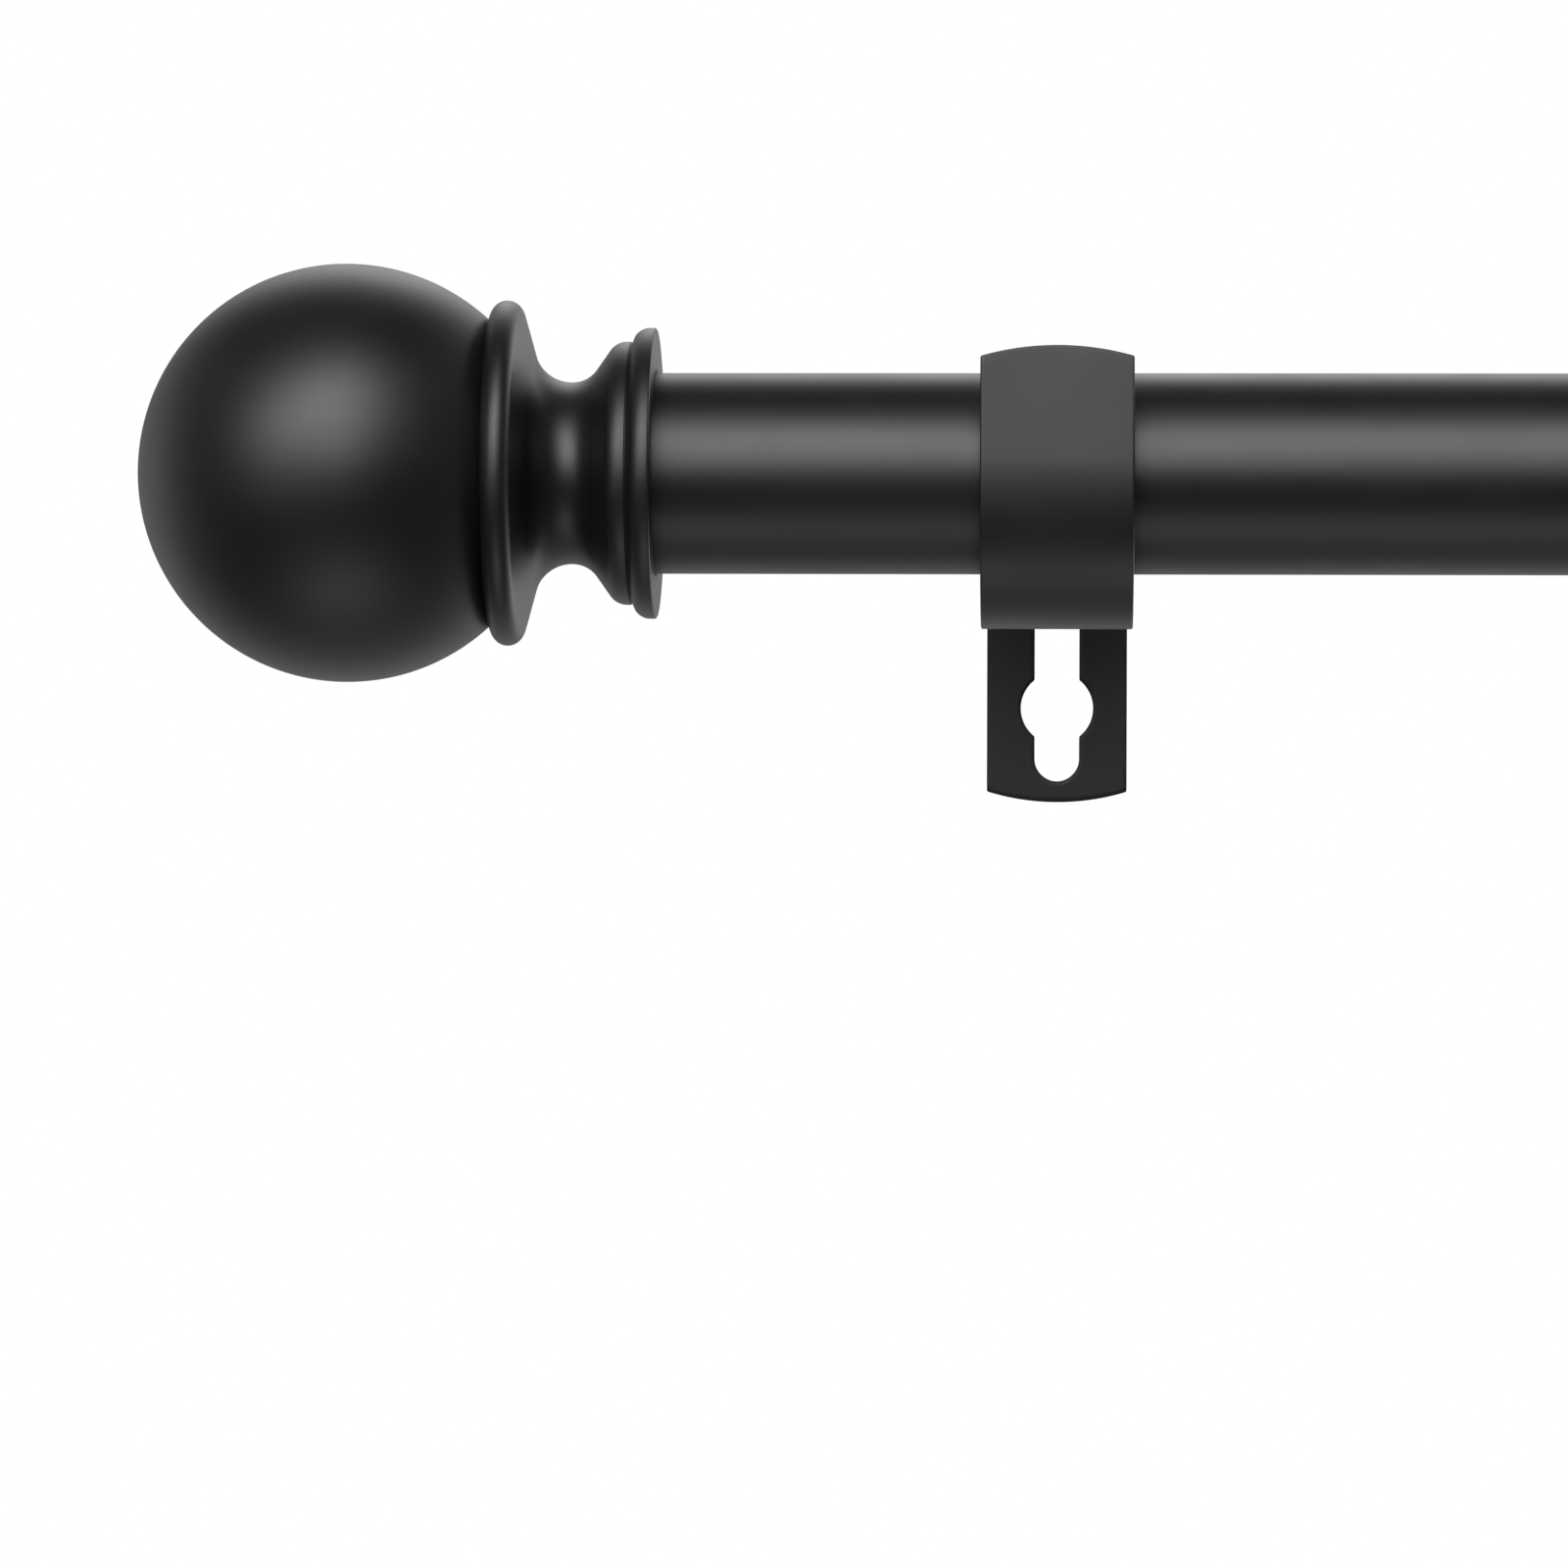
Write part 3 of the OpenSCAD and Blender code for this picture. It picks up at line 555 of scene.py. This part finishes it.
def strip(name, middle_x, start, heading, bends, width, cells, arcs):
    """Bent strip. Its flat middle surface is laid out in the width x and the length s, walked along the
    path and thickened. A cell [s from, s to, rows] is a plain grid. One with an opening [at, half width,
    up, down, round] as well runs in rings from the opening's edge to the cell's. Both ends are rounded
    by arcs of the given heights: s moves in by R - sqrt(R^2 - x^2), fading out over 6 mm."""
    half, rim = width / 2, 0.8 * MM
    columns = np.concatenate([[-half], np.linspace(rim - half, half - rim, 45), [half]])
    points, faces, count = [], [], 0
    for low, high, rows, *hole in cells:
        along = np.linspace(low, high, rows)
        if hole:
            at, half_width, up, down, round_r = hole[0]
            edge = np.concatenate([np.stack([np.full(rows - 1, -half), along[:-1]], 1),
                                   np.stack([columns[:-1], np.full(46, high)], 1),
                                   np.stack([np.full(rows - 1, half), along[:0:-1]], 1),
                                   np.stack([columns[:0:-1], np.full(46, low)], 1)])
            middle = np.array([0, at])
            angle = np.arctan2(edge[:, 1] - at, edge[:, 0])
            ray = np.stack([np.cos(angle), np.sin(angle)], 1)
            hole_edge, hole_rim = (middle + ray * opening(angle, half_width, up, down, round_r,
                                                          grown)[:, None] for grown in (0, 0.65 * MM))
            centre, reach = np.array([0, (low + high) / 2]), np.array([half, (high - low) / 2])
            inset = centre + (edge - centre) * (1 - rim / reach)
            rings = [hole_edge, *(hole_rim + (inset - hole_rim) * share for share in np.linspace(0, 1, 6)),
                     edge]
            cell = np.stack(rings)
        else:
            cell = np.stack(np.meshgrid(columns, along), -1)
        points.append(cell.reshape(-1, 2))
        faces.append(grid_faces(*cell.shape[:2], ring=bool(hole)) + count)
        count += cell.shape[0] * cell.shape[1]
    x, s = np.concatenate(points).T
    length = sum(piece[0] for piece in bends)
    for rise, from_end, inwards in ((arcs[0], s, 1), (arcs[1], length - s, -1)):
        bow = (half ** 2 + rise ** 2) / (2 * rise)
        s = s + inwards * (bow - np.sqrt(bow ** 2 - x ** 2)) * np.clip(1 - from_end / (6 * MM), 0, 1)
    flat = walk(start, heading, bends, s)
    piece = mesh_piece(name, np.stack([middle_x + x, flat[:, 0], flat[:, 1]], 1), np.concatenate(faces))
    thick = piece.modifiers.new("thickness", "SOLIDIFY")
    thick.thickness, thick.offset, thick.use_even_offset = strip_t, 0, True
    soft = piece.modifiers.new("edges", "BEVEL")
    soft.width, soft.segments, soft.limit_method = strip_round, 3, "ANGLE"
    soft.angle_limit, soft.use_clamp_overlap = radians(50), False
    return piece


def quarter(radius, sign=1):
    """Path piece of a quarter turn."""
    return [radius * pi / 2, 90 * sign]


lip_over_axis, axis_over_keyhole = 15.9 * MM, 32 * MM
plate_arc, strip_arc = 1.45 * MM, 1.5 * MM
slot_half, slot_up, slot_down, keyhole_r = 3.05 * MM, 16 * MM, 10.05 * MM, 4.95 * MM
plate_bend, arm_hole_r, arm_hole_at = 3 * MM, 2.2 * MM, 36 * MM
frames = {}
for side in ends:
    _, hook_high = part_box(f"{side}_rod_hook")
    plate_low, plate_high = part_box(f"{side}_wall_bracket")
    middle_x, axis_z = (plate_low[0] + plate_high[0]) / 2, hook_high[2] - lip_over_axis
    frames[side] = (middle_x, axis_z)
    plate_len = axis_z - strip_t / 2 - plate_bend - plate_low[2]
    arm_len = -plate_low[1] - strip_t / 2 - plate_bend
    keyhole_at = axis_z - axis_over_keyhole - plate_low[2]
    bend_end = plate_len + plate_bend * pi / 2
    arm_hole = bend_end + arm_hole_at - strip_t / 2 - plate_bend
    length = bend_end + arm_len
    cells = [[0, keyhole_at + slot_up + 2.5 * MM, 34, [keyhole_at, slot_half, slot_up, slot_down, keyhole_r]],
             [keyhole_at + slot_up + 2.5 * MM, plate_len, 3], [plate_len, bend_end, 14],
             [bend_end, arm_hole - 7 * MM, 12],
             [arm_hole - 7 * MM, length, 26, [arm_hole, arm_hole_r, arm_hole_r, arm_hole_r, 0]]]
    plate = strip(f"wall_bracket_{side}", middle_x, [-strip_t / 2, plate_low[2]], 90,
                  [[plate_len, 0], quarter(plate_bend), [arm_len, 0]], plate_high[0] - plate_low[0], cells,
                  (plate_arc, strip_arc))
    fit(plate, powder_coat, "powder_coat", f"{side}_wall_bracket", f"{side}_wall_bracket")

# ---- Hooks ----
# The sliding half of each bracket, bent from the same strip: a lip, a half-round cradle with a hole for
# the set screw, and a shank with a long slot, which lies on the wall bracket's arm.
cradle_r, cradle_drop, shank_bend, leg = 15.1 * MM, 3.5 * MM, 4 * MM, 0.5 * MM
lip_bend, lip_from, lip_lean, lip_arc = 31 * MM, 11.5, 4.46, 1.35 * MM
slot_ends, hook_slot_r, screw_hole_r, screw_below = (24 * MM, 48 * MM), 2.2 * MM, 2.2 * MM, 30
for side, (middle_x, axis_z) in frames.items():
    low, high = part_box(f"{side}_rod_hook")
    cradle_z, centre_off = axis_z - cradle_drop, lip_bend - cradle_r
    bend_top = np.array([rod_y + centre_off * cos(radians(lip_from)) - lip_bend * cos(radians(lip_lean)),
                         cradle_z + centre_off * sin(radians(lip_from)) + lip_bend * sin(radians(lip_lean))])
    lip = (high[2] - bend_top[1]) / cos(radians(lip_lean))
    start = bend_top + lip * np.array([sin(radians(lip_lean)), cos(radians(lip_lean))])
    slow, front = lip_bend * radians(lip_from + lip_lean), cradle_r * radians(90 - lip_from)
    bottom = lip + slow + front
    leg_at = bottom + cradle_r * pi / 2
    shank_at = leg_at + leg + shank_bend * pi / 2
    shank = high[1] - (rod_y + cradle_r + shank_bend)
    screw_at = bottom + cradle_r * radians(90 - screw_below)
    slot_at = shank_at + shank - (sum(slot_ends) / 2 + high[1])
    slot_reach = (slot_ends[1] - slot_ends[0]) / 2 + hook_slot_r
    slot_from = slot_at - slot_reach - 1.8 * MM
    cells = [[0, lip, 9], [lip, lip + slow, 9], [lip + slow, screw_at - 7 * MM, 24],
             [screw_at - 7 * MM, leg_at, 22, [screw_at, screw_hole_r, screw_hole_r, screw_hole_r, 0]],
             [leg_at, leg_at + leg, 2], [leg_at + leg, shank_at, 10], [shank_at, slot_from, 6],
             [slot_from, shank_at + shank, 60, [slot_at, hook_slot_r, slot_reach, slot_reach, 0]]]
    hook = strip(f"hook_{side}", middle_x, start, -90 - lip_lean,
                 [[lip, 0], [slow, lip_from + lip_lean], [front, 90 - lip_from], quarter(cradle_r), [leg, 0],
                  quarter(shank_bend, -1), [shank, 0]], high[0] - low[0], cells, (lip_arc, strip_arc))
    fit(hook, powder_coat, "powder_coat", f"{side}_hook", f"{side}_rod_hook")

# ---- Rubber saddles ----
# A moulded rubber crescent lies in each cradle and carries the rod. Its ends thin out to a round nose,
# and shallow grooves run across the side that the rod lies on.
rubber = finish("rubber", peel, 0.5 * MM, 8 * MM,
                ((0.013, 0.013, 0.013), (0.02, 0.02, 0.019)), (0.62, 0.75), 0.012 * MM)
saddle_reach, nose_from, saddle_out, saddle_in, saddle_rim = 45, 39, 14.05 * MM, 13 * MM, 0.6 * MM


def crescent(x, closed):
    """Closed outline of the crescent at x. Its two arcs lean over their middle line by the share closed,
    and their ends by an ellipse of the angle, so that the outline shuts there."""
    at = np.radians(np.linspace(-saddle_reach, saddle_reach, 73))
    groove = 0.2 * MM * np.clip(np.cos(20 * at), 0, 1) ** 4
    arcs = []
    for r, z in ((saddle_in + groove, axis_z), (saddle_out + 0 * at, axis_z - cradle_drop)):
        arcs.append(np.stack([np.full(73, x), rod_y + r * np.sin(at), z - r * np.cos(at)], 1))
    middle = (arcs[0] + arcs[1]) / 2
    past = np.clip((np.abs(np.degrees(at)) - nose_from) / (saddle_reach - nose_from), 0, 1)
    open_by = ((1 - closed) * np.sqrt(1 - past ** 2))[:, None]
    inner, outer = (middle + (side_arc - middle) * open_by for side_arc in arcs)
    return np.concatenate([inner, outer[::-1]])


for side, (middle_x, axis_z) in frames.items():
    low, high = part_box(f"{side}_rod_saddle")
    round_steps = np.radians(np.linspace(0, 90, 7))
    rows = [(low[0], 1.0), (low[0], 0.6)]
    rows += [(low[0] + saddle_rim * (1 - sin(a)), 0.28 * (1 - cos(a))) for a in round_steps[::-1]]
    rows += [(low[0] + high[0] - x, closed) for x, closed in rows[::-1]]
    outline = np.stack([crescent(x, closed) for x, closed in rows])
    saddle = mesh_piece(f"saddle_{side}", outline.reshape(-1, 3), grid_faces(*outline.shape[:2]))
    fit(saddle, rubber, "rubber", f"{side}_hook", f"{side}_rod_saddle")

# ---- Arm screws and nuts ----
# A knurled thumb screw comes up through the wall bracket's arm and the hook's slot, and a hex nut holds
# the two together. Black zinc-plated steel.
black_zinc = finish("black_zinc", texture_group("black_plate", brushed), 0.3 * MM, 2.5 * MM,
                    ((0.045, 0.045, 0.047), (0.07, 0.07, 0.073)), (0.3, 0.42), 0.003 * MM, metallic=1)


screw_sides, knurl_depth = 288, 0.35 * MM


def knurled_head(height, radius, knurls, neck_r):
    """Rows of a head from its dished top down to its underside. The grip's radius follows a triangle wave
    of the turn, knurls times round, and fades out at both rounded ends."""
    wave = np.abs(2 * ((knurls * np.arange(screw_sides) / screw_sides) % 1) - 1)
    rows = [[-height + 0.35 * MM, 0], [-height + 0.35 * MM, radius * 0.5], [-height, radius * 0.58],
            [-height, radius - 0.75 * MM]]
    rows += [[-height + 0.6 * MM * (1 - cos(a)), radius - 0.75 * MM + 0.6 * MM * sin(a)]
             for a in np.radians(np.linspace(15, 90, 5))]
    grip = ((-height + 0.7 * MM, 0), (-height + 1 * MM, 1), (-0.8 * MM, 1), (-0.5 * MM, 0))
    rows += [[out, radius - 0.15 * MM - knurl_depth * depth * wave] for out, depth in grip]
    rows += [[-0.15 * MM, radius - 0.35 * MM], [0, radius - 0.7 * MM], [0, neck_r]]
    return rows


def screw(name, head, thread, tip, base, axis):
    """Turned screw: head rows, a thread of [low, high, radius, pitch], and tip rows down to the axis."""
    rows = head + threaded(*thread, sides=screw_sides) + tip
    return turned(name, rows, base, axis, sides=screw_sides)


screw_r, screw_pitch, head_r, head_h = 2 * MM, 0.7 * MM, 6 * MM, 5 * MM
core_r = screw_r - 0.55 * screw_pitch
for side, (middle_x, axis_z) in frames.items():
    low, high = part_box(f"{side}_arm_screw")
    base, up = [middle_x, -arm_hole_at, low[2] + head_h], [0, 0, 1]
    shaft = high[2] - base[2]
    arm_screw = screw(f"thumb_screw_{side}", knurled_head(head_h, head_r, 36, core_r),
                      [0.02 * MM, shaft - 0.5 * MM, screw_r, screw_pitch],
                      [[shaft, core_r - 0.4 * MM], [shaft, 0]], base, up)
    fit(arm_screw, black_zinc, "black_zinc", f"{side}_arm_screw", f"{side}_arm_screw")
    low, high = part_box(f"{side}_arm_nut")
    across = min(high[0] - low[0], high[1] - low[1])
    nut_rows = nut_profile(0, high[2] - low[2], across, screw_r + 0.05 * MM, screw_pitch)
    nut = turned(f"hex_nut_{side}", nut_rows, [middle_x, -arm_hole_at, low[2]], up, loop=True)
    fit(nut, black_zinc, "black_zinc", f"{side}_wall_bracket", f"{side}_arm_nut")

# ---- Set screws ----
# A smaller knurled screw runs through the back of each cradle and bears on the rod with a turned-down
# tip, which keeps the rod from sliding.
set_head_r, set_head_h, set_shoulder, tip_r, tip_len = 4 * MM, 6 * MM, 17.6 * MM, 1.5 * MM, 1 * MM
axis_dir = np.array([0, cos(radians(screw_below)), -sin(radians(screw_below))])
for side, (middle_x, axis_z) in frames.items():
    low, high = (np.array(corner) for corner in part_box(f"{side}_set_screw"))
    cradle = np.array([middle_x, rod_y, axis_z - cradle_drop])
    tip_at = (high[2] - cradle[2] - tip_r * abs(axis_dir[1])) / axis_dir[2]
    shaft = set_shoulder - tip_at
    set_screw = screw(f"grip_screw_{side}", knurled_head(set_head_h, set_head_r, 24, core_r),
                      [0.02 * MM, shaft - tip_len - 0.2 * MM, screw_r, screw_pitch],
                      [[shaft - tip_len, tip_r], [shaft - 0.25 * MM, tip_r], [shaft, tip_r - 0.25 * MM],
                       [shaft, 0]], cradle + axis_dir * set_shoulder, -axis_dir)
    fit(set_screw, black_zinc, "black_zinc", f"{side}_set_screw", f"{side}_set_screw")
